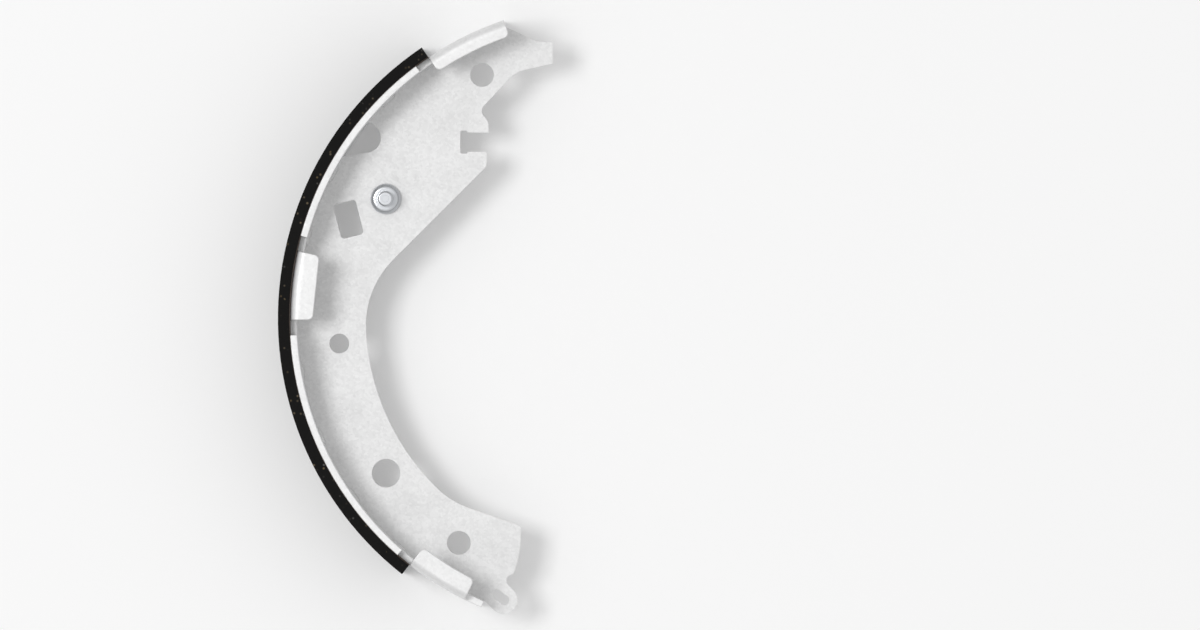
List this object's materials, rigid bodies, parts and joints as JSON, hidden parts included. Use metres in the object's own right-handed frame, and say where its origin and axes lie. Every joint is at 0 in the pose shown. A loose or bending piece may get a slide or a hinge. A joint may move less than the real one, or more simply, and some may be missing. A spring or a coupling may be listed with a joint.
{
  "type": "drum brake shoe",
  "caption": "Curved steel shoe with a bonded friction lining on its rim, a flat punched web, folded guide tabs and a riveted stud, which presses on the inside of a brake drum.",
  "frame": {"origin": "middle of the bounding box's underside, on the plane of the rim's plain edge", "axes": "+Z along the drum's axis towards the guide tabs and the stud, +Y from the anchor end to the wheel cylinder end, +X from the lining towards the drum's axis"},
  "size_m": [0.0923, 0.2, 0.0415],
  "materials": {
    "web_steel": "satin light grey coating",
    "rim_steel": "satin pale grey coating",
    "friction_lining": "matt ground friction material, near black",
    "plated_steel": "bright zinc plating"
  },
  "bodies": {
    "root": {"web": "web_steel", "rim": "rim_steel", "lining": "friction_lining", "adjuster_stud": "plated_steel"}
  },
  "joints": []
}
